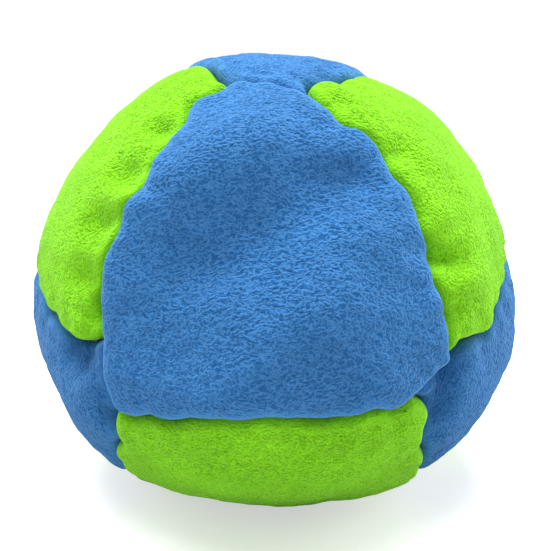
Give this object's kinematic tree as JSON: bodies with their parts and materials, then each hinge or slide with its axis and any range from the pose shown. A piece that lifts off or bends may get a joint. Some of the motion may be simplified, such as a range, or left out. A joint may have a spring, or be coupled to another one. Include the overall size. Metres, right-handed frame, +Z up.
{
  "type": "footbag",
  "caption": "Soft sand-filled kicking bag sewn from blue hexagon and bright green square suede panels, resting a little flattened under its own weight.",
  "frame": {"origin": "on the floor under the middle of the bag, at the centre of the flat it rests on", "axes": "+Z up, -Y towards the front panel that faces the viewer, +X to that viewer's right"},
  "size_m": [0.0519, 0.0524, 0.047],
  "materials": {
    "suede_blue": "brushed microsuede with a short matted nap",
    "suede_green": "brushed microsuede with a short matted nap",
    "thread": "twisted polyester thread",
    "sand": "dry loose sand"
  },
  "bodies": {
    "root": {"hexagon_panel_top": "suede_blue", "hexagon_panel_bottom": "suede_blue", "hexagon_panel_front": "suede_blue", "hexagon_panel_front_right": "suede_blue", "hexagon_panel_back_right": "suede_blue", "hexagon_panel_back": "suede_blue", "hexagon_panel_back_left": "suede_blue", "hexagon_panel_front_left": "suede_blue", "square_panel_front": "suede_green", "square_panel_front_right": "suede_green", "square_panel_back_right": "suede_green", "square_panel_back": "suede_green", "square_panel_back_left": "suede_green", "square_panel_front_left": "suede_green", "square_thread_front": "thread", "square_thread_front_right": "thread", "square_thread_back_right": "thread", "square_thread_back": "thread", "square_thread_back_left": "thread", "square_thread_front_left": "thread", "seam_thread_top_to_front": "thread", "seam_thread_top_to_back_right": "thread", "seam_thread_top_to_back_left": "thread", "seam_thread_bottom_to_front_left": "thread", "seam_thread_bottom_to_back": "thread", "seam_thread_bottom_to_front_right": "thread", "seam_thread_front_to_front_left": "thread", "seam_thread_front_to_front_right": "thread", "seam_thread_front_right_to_back_right": "thread", "seam_thread_back_right_to_back": "thread", "seam_thread_back_to_back_left": "thread", "seam_thread_back_left_to_front_left": "thread", "sand_filling": "sand"}
  },
  "joints": []
}
